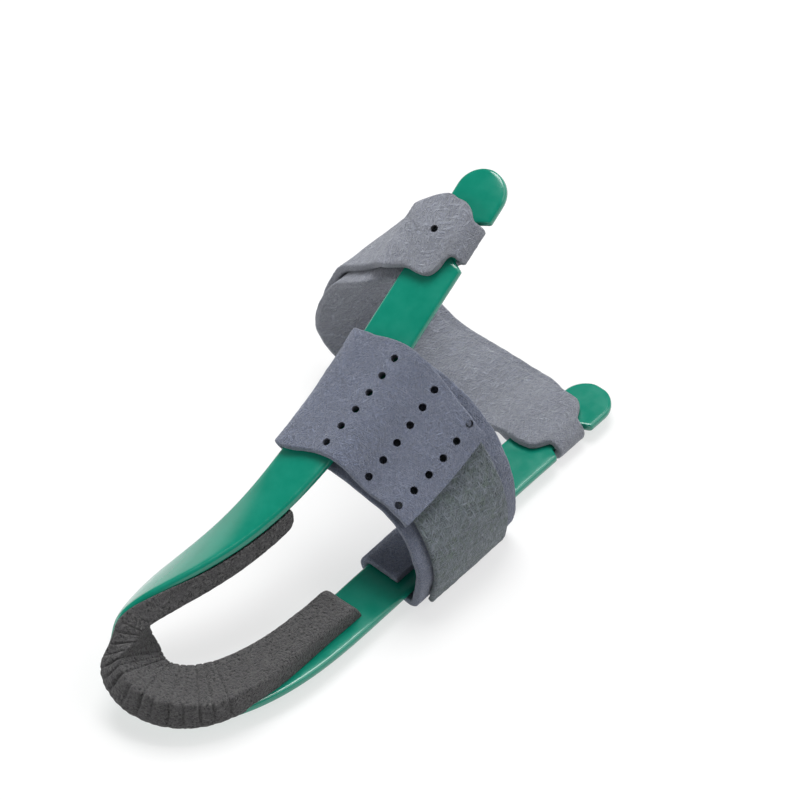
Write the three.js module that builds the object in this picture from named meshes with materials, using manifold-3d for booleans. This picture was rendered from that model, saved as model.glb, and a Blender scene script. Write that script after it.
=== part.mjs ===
// Bunion corrector for a right foot: a moulded splint, its toe pad and two felt straps.
// Millimetres, +Z up, +X towards the inner side of the foot, -Y towards the toes.
import * as THREE from 'three';
import { mergeVertices } from 'three/addons/utils/BufferGeometryUtils.js';
import Module from 'manifold-3d';

const wasm = await Module();
wasm.setup();

// Splint
const splintLength = 155;
const splintSpread = 56;
const instepHeight = 74;
const armWidth = 14;
const armThickness = 2.8;
const armEdgeRound = 1.2;
const neckFromTip = 19.5;
const neckLength = 12.5;
const neckDepth = 3;
const shoulderLength = 2;

// Toe pad
const padFromTip = 99;
const padThickness = 5;
const padWidth = 14.4;
const padInset = 4;
const padLip = 2.4;
const padEndRound = 4;
const padEdgeRound = 1;

// Straps
const clearance = 0.3;
const strapThickness = 2.2;
const strapEdgeRound = 0.7;
const settleLength = 8;
const frontStrapFromTip = 68;
const frontStrapWidth = 35;
const frontStrapLap = 24;
const frontStrapTail = 9;
const frontStrapSkew = 1.3;
const ballBulge = 18;
const ballLean = 6;
const holeDiameter = 2;
const holePitch = 5.4;
const holeRows = 6;
const holeColumns = 3;
const firstColumn = 15;
const columnPitch = 10.5;
const patchThickness = 1.6;
const patchOverlap = 5;
const patchEndShare = 0.2;
const outerToeInset = 1.6;
const outerHeelInset = 3.8;
const patchToeInset = 3.8;
const patchHeelInset = 5.2;
const rearStrapWidth = 30;
const neckGather = 10;
const instepBulge = 42;
const instepLean = 20;
const rearStrapStagger = 4;
const rearStrapSweep = 5.5;
const gatherRun = 5;
const gatherShare = 0.57;
const rearHoleFromFold = 8;
const rearHoleShare = 0.62;

// Largest share of half a wall that its rounded edge may take
const roundLimit = 0.8;

const armHalf = armWidth / 2;
const armMid = armThickness / 2;
const strapMid = strapThickness / 2;
const strapReach = armMid + clearance + strapMid;
const layerPitch = strapThickness + clearance;
const turnEdge = armMid - clearance / 2;

// Centreline of the splint from the upper paddle's tip, over the foot, round the big toe's tip and back
// under the sole. along, across and up are shares of splintLength, splintSpread and instepHeight. roll
// turns the outer face: 90 faces up, 0 faces away from the toe, -90 faces the floor.
const splintRows = [
  { along: 0.884, across: 0.009, up: 1.003, roll: 90 },
  { along: 0.832, across: 0.061, up: 0.941, roll: 90 },
  { along: 0.723, across: 0.164, up: 0.815, roll: 90 },
  { along: 0.626, across: 0.255, up: 0.703, roll: 90 },
  { along: 0.516, across: 0.366, up: 0.589, roll: 88 },
  { along: 0.410, across: 0.450, up: 0.495, roll: 84 },
  { along: 0.329, across: 0.493, up: 0.422, roll: 76 },
  { along: 0.245, across: 0.511, up: 0.357, roll: 67 },
  { along: 0.168, across: 0.500, up: 0.305, roll: 58 },
  { along: 0.097, across: 0.479, up: 0.251, roll: 45 },
  { along: 0.043, across: 0.500, up: 0.184, roll: 14 },
  { along: 0.025, across: 0.588, up: 0.111, roll: -40 },
  { along: 0.023, across: 0.754, up: 0.062, roll: -68 },
  { along: 0.070, across: 0.911, up: 0.043, roll: -80 },
  { along: 0.161, across: 0.989, up: 0.038, roll: -84 },
  { along: 0.277, across: 0.968, up: 0.035, roll: -86 },
  { along: 0.419, across: 0.864, up: 0.032, roll: -90 },
  { along: 0.581, across: 0.741, up: 0.032, roll: -90 },
  { along: 0.742, across: 0.612, up: 0.032, roll: -90 },
  { along: 0.877, across: 0.514, up: 0.032, roll: -90 },
  { along: 1.000, across: 0.425, up: 0.032, roll: -90 },
];

// The toe pad along its own length: inset and lip are shares of padInset and padLip. The inset draws the
// pad's inner-side edge back from the splint's, and the lip covers the splint's edge round the toe's tip.
const padRows = [
  { at: 0, inset: 0, lip: 0 },
  { at: 0.22, inset: -0.06, lip: 0.1 },
  { at: 0.34, inset: -0.25, lip: 0.5 },
  { at: 0.46, inset: -0.35, lip: 1 },
  { at: 0.62, inset: -0.3, lip: 1 },
  { at: 0.74, inset: 0.2, lip: 0.4 },
  { at: 0.86, inset: 0.9, lip: 0 },
  { at: 1, inset: 1, lip: 0 },
];

// The front strap round the ball of the foot, from the lower arm up to the upper arm, for its toe-side
// and heel-side edges. Rise is a share of the way up from arm to arm, Out of ballBulge, Back of ballLean.
const ballRows = [
  { toeRise: 0.148, toeOut: 0.36, toeBack: 0.17, heelRise: 0.114, heelOut: 0.38, heelBack: 0.37 },
  { toeRise: 0.353, toeOut: 0.68, toeBack: 0.48, heelRise: 0.279, heelOut: 0.67, heelBack: 0.58 },
  { toeRise: 0.529, toeOut: 0.80, toeBack: 0.70, heelRise: 0.423, heelOut: 0.86, heelBack: 0.77 },
  { toeRise: 0.646, toeOut: 0.78, toeBack: 0.85, heelRise: 0.567, heelOut: 0.97, heelBack: 0.88 },
  { toeRise: 0.740, toeOut: 0.67, toeBack: 0.90, heelRise: 0.691, heelOut: 0.95, heelBack: 1.00 },
  { toeRise: 0.830, toeOut: 0.45, toeBack: 0.72, heelRise: 0.825, heelOut: 0.87, heelBack: 0.93 },
  { toeRise: 0.920, toeOut: 0.23, toeBack: 0.35, heelRise: 0.948, heelOut: 0.61, heelBack: 0.67 },
];

// The rear strap down the outer side of the foot and under the sole, from the upper arm to the lower
// arm. Rise is a share of the way from arm to arm, Out of instepBulge, Back of instepLean.
const instepRows = [
  { toeRise: 0.084, toeOut: 0.24, toeBack: 0.38, heelRise: 0.079, heelOut: 0.16, heelBack: 0.17 },
  { toeRise: 0.253, toeOut: 0.59, toeBack: 0.62, heelRise: 0.223, heelOut: 0.41, heelBack: 0.28 },
  { toeRise: 0.459, toeOut: 0.84, toeBack: 0.86, heelRise: 0.413, heelOut: 0.68, heelBack: 0.38 },
  { toeRise: 0.665, toeOut: 1.03, toeBack: 1.04, heelRise: 0.620, heelOut: 0.88, heelBack: 0.50 },
  { toeRise: 0.843, toeOut: 1.13, toeBack: 1.09, heelRise: 0.819, heelOut: 1.00, heelBack: 0.53 },
  { toeRise: 0.948, toeOut: 1.10, toeBack: 1.04, heelRise: 0.946, heelOut: 0.98, heelBack: 0.55 },
  { toeRise: 0.987, toeOut: 0.94, toeBack: 0.88, heelRise: 0.987, heelOut: 0.81, heelBack: 0.45 },
  { toeRise: 0.988, toeOut: 0.58, toeBack: 0.53, heelRise: 0.988, heelOut: 0.48, heelBack: 0.25 },
  { toeRise: 0.990, toeOut: 0.25, toeBack: 0.18, heelRise: 0.990, heelOut: 0.17, heelBack: 0.05 },
];

function eased(t) {
  const held = Math.min(Math.max(t, 0), 1);
  return held * held * (3 - 2 * held);
}

// Natural cubic spline: gives a function from knot position to value
function splineThrough(knots, values) {
  const last = knots.length - 1;
  const bend = new Array(last + 1).fill(0);
  const share = new Array(last + 1).fill(0);
  for (let i = 1; i < last; i++) {
    const before = knots[i] - knots[i - 1];
    const after = knots[i + 1] - knots[i];
    const kink = (values[i + 1] - values[i]) / after - (values[i] - values[i - 1]) / before;
    const pivot = 2 * (before + after) - before * share[i - 1];
    share[i] = after / pivot;
    bend[i] = (6 * kink - before * bend[i - 1]) / pivot;
  }
  for (let i = last - 1; i > 0; i--) {
    bend[i] -= share[i] * bend[i + 1];
  }
  return (q) => {
    let i = 0;
    while (i < last - 1 && q > knots[i + 1]) {
      i++;
    }
    const step = knots[i + 1] - knots[i];
    const left = knots[i + 1] - q;
    const right = q - knots[i];
    const cubic = (bend[i] * left ** 3 + bend[i + 1] * right ** 3) / (6 * step);
    const fromLeft = (values[i] / step - (bend[i] * step) / 6) * left;
    const fromRight = (values[i + 1] / step - (bend[i + 1] * step) / 6) * right;
    return cubic + fromLeft + fromRight;
  };
}

// A smooth line through points, walked by its own length in millimetres. Extra values ride along.
function smoothLine(points, extra = points.map(() => 0)) {
  const fineSteps = 40;
  const knots = [0];
  for (let i = 1; i < points.length; i++) {
    knots.push(knots[i - 1] + points[i].distanceTo(points[i - 1]));
  }
  const splines = ['x', 'y', 'z'].map((axis) => splineThrough(knots, points.map((p) => p[axis])));
  const extraSpline = splineThrough(knots, extra);
  const place = (q) => new THREE.Vector3(splines[0](q), splines[1](q), splines[2](q));
  const end = knots[knots.length - 1];
  const count = fineSteps * points.length;
  const walked = [0];
  let previous = place(0);
  for (let i = 1; i <= count; i++) {
    const next = place((end * i) / count);
    walked.push(walked[i - 1] + next.distanceTo(previous));
    previous = next;
  }
  const length = walked[count];
  const knotAt = (distance) => {
    const d = Math.min(Math.max(distance, 0), length);
    let i = 1;
    while (i < count && walked[i] < d) {
      i++;
    }
    const part = (d - walked[i - 1]) / (walked[i] - walked[i - 1]);
    return (end * (i - 1 + part)) / count;
  };
  const probe = 0.2;
  return {
    length,
    at: (distance) => place(knotAt(distance)),
    extraAt: (distance) => extraSpline(knotAt(distance)),
    tangent: (distance) => {
      const ahead = Math.min(distance + probe, length);
      const behind = Math.max(distance - probe, 0);
      return place(knotAt(ahead)).sub(place(knotAt(behind))).normalize();
    },
  };
}

const splintLine = smoothLine(
  splintRows.map((row) => new THREE.Vector3(
    row.across * splintSpread,
    row.along * splintLength,
    row.up * instepHeight,
  )),
  splintRows.map((row) => THREE.MathUtils.degToRad(row.roll)),
);

// Directions on the splint at a distance from the upper tip: wide runs from the inner-side edge to the
// other edge, and out stands on the outer face.
function splintFrame(distance) {
  const centre = splintLine.at(distance);
  const ahead = splintLine.tangent(distance);
  const level = ahead.clone().cross(new THREE.Vector3(0, 0, 1)).normalize();
  const upright = level.clone().cross(ahead);
  const roll = splintLine.extraAt(distance);
  const out = level.clone().multiplyScalar(Math.cos(roll)).addScaledVector(upright, Math.sin(roll));
  const wide = level.clone().multiplyScalar(Math.sin(roll)).addScaledVector(upright, -Math.cos(roll));
  return { centre, ahead, wide, out };
}

function onSplint(distance, across, outward) {
  const frame = splintFrame(distance);
  return frame.centre.addScaledVector(frame.wide, across).addScaledVector(frame.out, outward);
}

// Corner-rounded rectangle as [across, outward] pairs, from the left side's lower end round to its upper end
function roundedRectangle(left, right, bottom, top, radius, cornerSteps = 2) {
  const corners = [
    { x: left + radius, y: bottom + radius, start: 180 },
    { x: right - radius, y: bottom + radius, start: 270 },
    { x: right - radius, y: top - radius, start: 0 },
    { x: left + radius, y: top - radius, start: 90 },
  ];
  const outline = [];
  for (const corner of corners) {
    for (let i = 0; i <= cornerSteps; i++) {
      const turn = THREE.MathUtils.degToRad(corner.start + (90 * i) / cornerSteps);
      outline.push([corner.x + radius * Math.cos(turn), corner.y + radius * Math.sin(turn)]);
    }
  }
  return outline;
}

// Closed solid through rings of equally many points, each from one side's lower end round to its upper
// end, so that a cap is a ladder of strips. A loop joins its last ring to its first.
function loft(rings, isLoop = false) {
  const count = rings[0].length;
  const corners = rings.flat();
  const faces = [];
  const spans = isLoop ? rings.length : rings.length - 1;
  for (let i = 0; i < spans; i++) {
    const here = i * count;
    const next = ((i + 1) % rings.length) * count;
    for (let j = 0; j < count; j++) {
      const k = (j + 1) % count;
      faces.push([here + j, here + k, next + k], [here + j, next + k, next + j]);
    }
  }
  if (!isLoop) {
    const last = (rings.length - 1) * count;
    for (let j = 0; j < count / 2 - 1; j++) {
      const across = count - 1 - j;
      faces.push([j, across - 1, j + 1], [j, across, across - 1]);
      faces.push([last + j, last + j + 1, last + across - 1]);
      faces.push([last + j, last + across - 1, last + across]);
    }
  }
  let volume = 0;
  for (const [a, b, c] of faces) {
    volume += corners[a].dot(corners[b].clone().cross(corners[c]));
  }
  const facing = volume > 0 ? faces : faces.map(([a, b, c]) => [a, c, b]);
  const geometry = new THREE.BufferGeometry();
  geometry.setAttribute('position', new THREE.Float32BufferAttribute(
    corners.flatMap((p) => [p.x, p.y, p.z]), 3));
  geometry.setIndex(facing.flat());
  return geometry;
}

function toSolid(geometry) {
  const bare = geometry.clone();
  bare.deleteAttribute('normal');
  bare.deleteAttribute('uv');
  const merged = mergeVertices(bare);
  return new wasm.Manifold(new wasm.Mesh({
    numProp: 3,
    vertProperties: new Float32Array(merged.attributes.position.array),
    triVerts: new Uint32Array(merged.index.array),
  }));
}

function toGeometry(solid) {
  const mesh = solid.getMesh();
  const geometry = new THREE.BufferGeometry();
  geometry.setAttribute('position', new THREE.BufferAttribute(mesh.vertProperties, 3));
  geometry.setIndex(new THREE.BufferAttribute(mesh.triVerts, 1));
  return geometry;
}

// Stations from one end to the other, closer together on the quarter rounds at both ends
function roundedStations(length, endRound, step) {
  const endTurns = [12, 30, 50, 70];
  const ends = endTurns.map((turn) => endRound * (1 - Math.cos(THREE.MathUtils.degToRad(turn))));
  const count = Math.max(2, Math.round((length - 2 * endRound) / step));
  const middle = [];
  for (let i = 0; i <= count; i++) {
    middle.push(endRound + ((length - 2 * endRound) * i) / count);
  }
  return [...ends, ...middle, ...ends.map((d) => length - d).reverse()];
}

// Share of full size at a distance from a round end
function roundEnd(distance, radius) {
  const short = Math.max(1 - distance / radius, 0);
  return Math.sqrt(Math.max(1 - short * short, 0));
}

// Half width of the splint: round tips, then a neck with shoulders behind each paddle
function splintHalfWidth(distance) {
  const fromTip = Math.min(distance, splintLine.length - distance);
  const fromNeck = Math.abs(fromTip - neckFromTip);
  const neckShare = 1 - eased((fromNeck - neckLength / 2 + shoulderLength / 2) / shoulderLength);
  return armHalf * roundEnd(fromTip, armHalf) - neckDepth * neckShare;
}

function splintStations() {
  const step = 5;
  const neckSteps = 6;
  const reach = (neckLength + shoulderLength) / 2;
  const margin = 1;
  const near = [];
  for (let i = 0; i <= neckSteps; i++) {
    near.push(neckFromTip - reach + (2 * reach * i) / neckSteps);
  }
  const far = near.map((d) => splintLine.length - d).reverse();
  const inNeck = (d) => Math.min(
    Math.abs(d - neckFromTip),
    Math.abs(splintLine.length - d - neckFromTip),
  ) < reach + margin;
  const plain = roundedStations(splintLine.length, armHalf, step).filter((d) => !inNeck(d));
  return [...plain, ...near, ...far].sort((a, b) => a - b);
}

// The splint's own solid, or with grow the space that it takes with a gap all round
function splintSolid(grow = 0) {
  return loft(splintStations().map((distance) => {
    const half = splintHalfWidth(distance) + grow;
    const thick = armMid + grow;
    const round = Math.min(armEdgeRound + grow, half * roundLimit);
    return roundedRectangle(-half, half, -thick, thick, round)
      .map(([across, outward]) => onSplint(distance, across, outward));
  }));
}

function makeToePad() {
  const step = 4.5;
  const length = splintLine.length - 2 * padFromTip;
  const column = (name) => splineThrough(padRows.map((r) => r.at), padRows.map((r) => r[name]));
  const inset = column('inset');
  const lip = column('lip');
  const body = loft(roundedStations(length, padEndRound, step).map((d) => {
    const share = d / length;
    const thick = padThickness * roundEnd(Math.min(d, length - d), padEndRound);
    const left = -padWidth / 2 + padInset * inset(share);
    const top = -armMid - clearance + padLip * Math.max(lip(share), 0);
    const bottom = -armMid - clearance - thick;
    const round = Math.min(padEdgeRound, (thick / 2) * roundLimit);
    return roundedRectangle(left, padWidth / 2, bottom, top, round)
      .map(([across, outward]) => onSplint(padFromTip + d, across, outward));
  }));
  return toGeometry(toSolid(body).subtract(toSolid(splintSolid(clearance))));
}

// A strap is lofted from stations. Each holds points at mid thickness on lines that run along the strap,
// from its toe-side edge to its heel-side edge, and the way that its face looks at each.
const lineShares = [0, 0.25, 0.5, 0.75, 1];

function strapRing(station, thickness = strapThickness) {
  const half = thickness / 2;
  const last = lineShares.length - 1;
  const width = station.points[0].distanceTo(station.points[last]);
  const round = Math.min(strapEdgeRound, half * roundLimit);
  const corner = round / width;
  const flat = lineShares.map((share) => Math.min(Math.max(share, corner), 1 - corner));
  const outline = [
    [0, round - half],
    ...flat.map((share) => [share, -half]),
    [1, round - half],
    [1, half - round],
    ...flat.map((share) => [share, half]).reverse(),
    [0, half - round],
  ];
  return outline.map(([share, outward]) => {
    const k = Math.min(Math.floor(share * last), last - 1);
    const part = share * last - k;
    const face = station.faces[k].clone().lerp(station.faces[k + 1], part).normalize();
    return station.points[k].clone().lerp(station.points[k + 1], part).addScaledVector(face, outward);
  });
}

// The station of a set of lines, where distanceOn gives the way along each line
function stationAlong(lines, distanceOn) {
  const points = lines.map((line, k) => line.at(distanceOn(line, lineShares[k])));
  const faces = lines.map((line, k) => {
    const wide = points[Math.min(k + 1, lines.length - 1)].clone().sub(points[Math.max(k - 1, 0)]);
    return wide.cross(line.tangent(distanceOn(line, lineShares[k]))).normalize();
  });
  return { points, faces };
}

// The station with each line lifted out of its face, narrowed from its edges, slid towards the heel and
// turned over
function lifted(station, lifts, { toeInset = 0, heelInset = 0, slide = 0 }) {
  const last = lineShares.length - 1;
  const width = station.points[0].distanceTo(station.points[last]);
  const points = lineShares.map((share, k) => {
    const kept = toeInset / width + share * (1 - (toeInset + heelInset) / width) + slide / width;
    const i = Math.min(Math.max(Math.floor(kept * last), 0), last - 1);
    const along = station.points[i + 1].clone().sub(station.points[i]);
    return station.points[i].clone()
      .addScaledVector(along, kept * last - i)
      .addScaledVector(station.faces[k], lifts[k]);
  });
  return { points, faces: station.faces.map((face) => face.clone().negate()) };
}

// Place across a strap, from 1 at its toe-side edge to -1 at its heel-side edge
function toeward(share) {
  return 1 - 2 * share;
}

// Both arms, with the way along each that leads to the toes
const upperArm = { toward: 1, place: (fromTip) => fromTip };
const lowerArm = { toward: -1, place: (fromTip) => splintLine.length - fromTip };

// Distance along the splint of each of a strap's lines where it crosses an arm
function crossings(arm, fromTip, halfWidth) {
  return lineShares.map((share) => arm.place(fromTip) + arm.toward * halfWidth * toeward(share));
}

function armStation(arm, fromTip, halfWidth, across, outward, facing) {
  const places = crossings(arm, fromTip, halfWidth);
  return {
    points: places.map((distance) => onSplint(distance, across, outward)),
    faces: places.map((distance) => splintFrame(distance).out.multiplyScalar(facing)),
  };
}

// Half turn round an arm's edge, from its inner face to its outer face. side is +1 at the outer-side
// edge and -1 at the inner-side edge, and facing is +1 where the strap's face looks away from the arm.
function foldStations(arm, fromTip, halfWidth, edge, side, facing, steps = 6) {
  const places = crossings(arm, fromTip, halfWidth);
  const stations = [];
  for (let i = 0; i <= steps; i++) {
    const turn = Math.PI * (i / steps - 0.5);
    const across = side * (edge + strapReach * Math.cos(turn));
    const outward = strapReach * Math.sin(turn);
    stations.push({
      points: places.map((distance) => onSplint(distance, across, outward)),
      faces: places.map((distance) => {
        const frame = splintFrame(distance);
        return frame.wide.multiplyScalar(side * facing * Math.cos(turn))
          .addScaledVector(frame.out, facing * Math.sin(turn));
      }),
    });
  }
  return stations;
}

// Points of one line of a strap between two ends, out across the foot and back along it by table shares
function tablePoints(rows, share, start, finish, out, back) {
  return rows.map((row) => {
    const between = (name) => THREE.MathUtils.lerp(row[`toe${name}`], row[`heel${name}`], share);
    const point = start.clone().lerp(finish, between('Rise'));
    point.x += out * between('Out');
    point.y += back * between('Back');
    return point;
  });
}

// The front strap's inner layer between the arms. It is held flat to each arm at these shares of armHalf,
// counted from the arm's middle towards its inner-side edge.
const frontHalf = frontStrapWidth / 2;
const foldEdge = armHalf - turnEdge;
const heldUnder = [0, 0.5, 0.8, 1.05];
const heldOver = [1.05, 0.7, 0];

function ballLine(share) {
  const lower = lowerArm.place(frontStrapFromTip) - frontHalf * toeward(share);
  const upper = upperArm.place(frontStrapFromTip) + frontHalf * toeward(share);
  const start = onSplint(lower, -armHalf, strapReach);
  const finish = onSplint(upper, -armHalf, -strapReach);
  return smoothLine([
    onSplint(lower, foldEdge, strapReach),
    ...heldUnder.map((held) => onSplint(lower, -armHalf * held, strapReach)),
    ...tablePoints(ballRows, share, start, finish, ballBulge, ballLean),
    ...heldOver.map((held) => onSplint(upper, -armHalf * held, -strapReach)),
    onSplint(upper, foldEdge, -strapReach),
  ]);
}
const ballLines = lineShares.map(ballLine);

// How far each line of the front strap's outer layer leads or trails, so that its rows of holes and its
// end stand askew to the arm
function skewed(distance, share) {
  return distance - frontStrapSkew * toeward(share) * Math.min(distance / firstColumn, 1);
}

// The front strap's outer layer at a distance from its fold round the upper arm
const overArm = foldEdge + armHalf;
const outerLength = overArm + frontStrapLap;
function outerFront(distance) {
  const places = crossings(upperArm, frontStrapFromTip, frontHalf);
  const inner = stationAlong(ballLines, (line, share) => line.length - skewed(distance, share));
  const past = distance - overArm;
  const settle = 1 - eased(past / settleLength);
  const climb = 1 - eased((outerLength - distance - patchOverlap) / settleLength);
  const lift = layerPitch + (armThickness + clearance) * settle + (patchThickness + clearance) * climb;
  const inset = eased(past / frontStrapLap);
  const insets = { toeInset: outerToeInset * inset, heelInset: outerHeelInset * inset };
  const outer = lifted(inner, lineShares.map(() => lift), insets);
  lineShares.forEach((share, k) => {
    const across = foldEdge - skewed(distance, share);
    if (across > -armHalf) {
      outer.points[k] = onSplint(places[k], across, strapReach);
      outer.faces[k] = splintFrame(places[k]).out.negate();
    }
  });
  return outer;
}

// Cuts a round hole through one layer of a strap at a station, share of the way from toe to heel
function holeCutter(station, share) {
  const last = lineShares.length - 1;
  const k = Math.min(Math.floor(share * last), last - 1);
  const centre = station.points[k].clone().lerp(station.points[k + 1], share * last - k);
  const pin = new THREE.CylinderGeometry(
    holeDiameter / 2, holeDiameter / 2, strapThickness + 2 * clearance, 10);
  const turn = new THREE.Quaternion().setFromUnitVectors(new THREE.Vector3(0, 1, 0), station.faces[k]);
  pin.applyQuaternion(turn);
  pin.translate(centre.x, centre.y, centre.z);
  return toSolid(pin);
}

function makeFrontStrap() {
  const tail = [foldEdge - frontStrapTail, foldEdge - frontStrapTail / 2];
  const innerSteps = 30;
  const outerSteps = 15;
  const inner = new Array(innerSteps - 1).fill(0).map((_, i) => stationAlong(
    ballLines, (line) => (line.length * (i + 1)) / innerSteps));
  const outer = new Array(outerSteps).fill(0).map((_, i) => outerFront(
    (outerLength * (i + 1)) / outerSteps));
  const stations = [
    ...tail.map((across) => armStation(lowerArm, frontStrapFromTip, frontHalf, across, -strapReach, -1)),
    ...foldStations(lowerArm, frontStrapFromTip, frontHalf, foldEdge, 1, 1),
    ...inner,
    ...foldStations(upperArm, frontStrapFromTip, frontHalf, foldEdge, 1, -1),
    ...outer,
  ];
  let strap = toSolid(loft(stations.map((station) => strapRing(station))));
  for (let column = 0; column < holeColumns; column++) {
    const station = outerFront(firstColumn + column * columnPitch - strapReach - strapMid);
    const holeShare = holePitch / station.points[0].distanceTo(station.points[lineShares.length - 1]);
    for (let row = 0; row < holeRows; row++) {
      strap = strap.subtract(holeCutter(station, 0.5 + (row - (holeRows - 1) / 2) * holeShare));
    }
  }
  return toGeometry(strap);
}

// The patch lies on the inner layer, from beneath the outer layer's end down to the sole
function makeFrontPatch() {
  const steps = 14;
  const lifts = lineShares.map(() => strapMid + clearance + patchThickness / 2);
  const insets = { toeInset: patchToeInset, heelInset: patchHeelInset };
  const stations = new Array(steps + 1).fill(0).map((_, i) => {
    const share = i / steps;
    const station = stationAlong(ballLines, (line, across) => {
      const start = line.length - skewed(outerLength, across) + patchOverlap;
      return THREE.MathUtils.lerp(start, line.length * patchEndShare, share);
    });
    return lifted(station, lifts, insets);
  });
  return loft(stations.map((station) => strapRing(station, patchThickness)));
}

// The rear strap's inner layer, down the outer side of the foot from the upper neck to the lower neck
const neckHalf = armHalf - neckDepth;
const neckEdge = neckHalf - turnEdge;

// How far the strap has fanned out where it crosses an arm, from 0 at the neck's inner-side edge
function fanned(across) {
  return eased((across + neckHalf) / gatherRun);
}

function gatheredHalf(across) {
  return THREE.MathUtils.lerp(neckGather, rearStrapWidth, gatherShare * fanned(across)) / 2;
}

function instepLine(share) {
  const side = toeward(share);
  const upperAt = (across) => (
    neckFromTip + side * gatheredHalf(across) + rearStrapSweep * fanned(across));
  const lowerAt = (across) => lowerArm.place(neckFromTip) - side * gatheredHalf(across);
  const start = onSplint(upperAt(armHalf), armHalf, -strapReach);
  const finish = onSplint(lowerAt(armHalf), armHalf, strapReach - layerPitch);
  const crossed = [-neckEdge, 0, armHalf / 2, armHalf];
  const upper = crossed.map((across) => onSplint(upperAt(across), across, -strapReach));
  const lower = crossed.map((across) => onSplint(lowerAt(across), across, -strapReach)).reverse();
  const line = smoothLine([
    ...upper,
    ...tablePoints(instepRows, share, start, finish, -instepBulge, -instepLean),
    ...lower,
  ]);
  const run = (points) => points.slice(1).reduce((sum, p, i) => sum + p.distanceTo(points[i]), 0);
  return { ...line, overUpper: run(upper), overLower: run(lower) };
}
const instepLines = lineShares.map(instepLine);

// The rear strap's outer layer beside the inner one, at a share of the way from the upper neck. Each line
// settles onto the inner layer once it has left its arm.
function outerRear(share) {
  const station = stationAlong(instepLines, (line) => share * line.length);
  const fromArm = instepLines.map((line) => Math.min(
    share * line.length - line.overUpper,
    (1 - share) * line.length - line.overLower,
  ));
  const middle = fromArm[(lineShares.length - 1) / 2];
  const lifts = fromArm.map((past) => (
    layerPitch + (armThickness + clearance) * (1 - eased((past - strapThickness) / settleLength))));
  const slide = rearStrapStagger * eased((middle + armWidth) / (2 * armWidth));
  return lifted(station, lifts, { slide });
}

function makeRearStrap() {
  const steps = 34;
  const inner = [];
  const outer = [];
  for (let i = 0; i <= steps; i++) {
    inner.push(stationAlong(instepLines, (line) => (line.length * i) / steps));
    outer.push(outerRear(1 - i / steps));
  }
  const half = neckGather / 2;
  const stations = [
    ...inner,
    ...foldStations(lowerArm, neckFromTip, half, neckEdge, -1, -1).slice(1, -1),
    ...outer,
    ...foldStations(upperArm, neckFromTip, half, neckEdge, -1, -1).reverse().slice(1, -1),
  ];
  const strap = toSolid(loft(stations.map((station) => strapRing(station)), true));
  const station = outerRear(rearHoleFromFold / instepLines[2].length);
  return toGeometry(strap.subtract(holeCutter(station, rearHoleShare)));
}

const group = new THREE.Group();
function addPiece(name, geometry, colour, roughness) {
  const material = new THREE.MeshStandardMaterial({ color: colour, roughness, metalness: 0 });
  const piece = new THREE.Mesh(geometry, material);
  piece.name = name;
  group.add(piece);
}

addPiece('splint', splintSolid(), 0x0a8a6e, 0.3);
addPiece('toe_pad', makeToePad(), 0x4a4a4e, 0.95);
addPiece('front_strap', makeFrontStrap(), 0x8b93a3, 0.95);
addPiece('front_patch', makeFrontPatch(), 0x6d7a7c, 1);
addPiece('rear_strap', makeRearStrap(), 0x8b93a3, 0.95);

// The origin is the middle of the bottom of the whole part's box
const box = new THREE.Box3().setFromObject(group);
const middle = box.getCenter(new THREE.Vector3());
for (const piece of group.children) {
  piece.geometry.translate(-middle.x, -middle.y, -box.min.z);
}

export default group;
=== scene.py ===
"""Bunion corrector: a glossy splint, a foam toe pad, two felt straps and a hook patch."""
import math

import bpy
import numpy as np
from mathutils import Matrix, Vector, noise


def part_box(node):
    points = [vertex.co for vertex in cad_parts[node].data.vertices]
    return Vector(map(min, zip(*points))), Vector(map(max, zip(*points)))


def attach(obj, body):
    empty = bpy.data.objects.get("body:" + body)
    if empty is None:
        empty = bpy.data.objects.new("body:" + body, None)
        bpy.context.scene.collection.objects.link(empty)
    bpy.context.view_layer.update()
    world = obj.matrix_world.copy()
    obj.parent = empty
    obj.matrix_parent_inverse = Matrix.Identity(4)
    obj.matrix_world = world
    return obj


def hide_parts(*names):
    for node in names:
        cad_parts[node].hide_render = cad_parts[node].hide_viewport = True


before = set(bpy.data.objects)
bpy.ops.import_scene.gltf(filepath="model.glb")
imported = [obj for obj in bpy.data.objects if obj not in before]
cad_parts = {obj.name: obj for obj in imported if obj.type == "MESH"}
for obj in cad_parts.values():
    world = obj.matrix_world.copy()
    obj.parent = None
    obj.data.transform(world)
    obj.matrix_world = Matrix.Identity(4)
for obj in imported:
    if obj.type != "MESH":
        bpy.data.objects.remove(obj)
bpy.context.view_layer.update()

MM = 0.001
UP = np.array((0.0, 0.0, 1.0))

# Splint, in millimetres
SPLINT_LENGTH = 155
SPLINT_SPREAD = 56
INSTEP_HEIGHT = 74
ARM_WIDTH = 14
ARM_THICKNESS = 2.8
ARM_EDGE_ROUND = 0.9
ARM_CROWN = 0.5
NECK_FROM_TIP = 19.5
NECK_LENGTH = 12.5
NECK_DEPTH = 3
SHOULDER_LENGTH = 2

# Toe pad, in millimetres
PAD_FROM_TIP = 99
PAD_THICKNESS = 5
PAD_WIDTH = 14.4
PAD_INSET = 4
PAD_LIP = 2.4
PAD_END_ROUND = 4
PAD_EDGE_ROUND = 0.8
PAD_SEAT_GAP = 0.08

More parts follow.
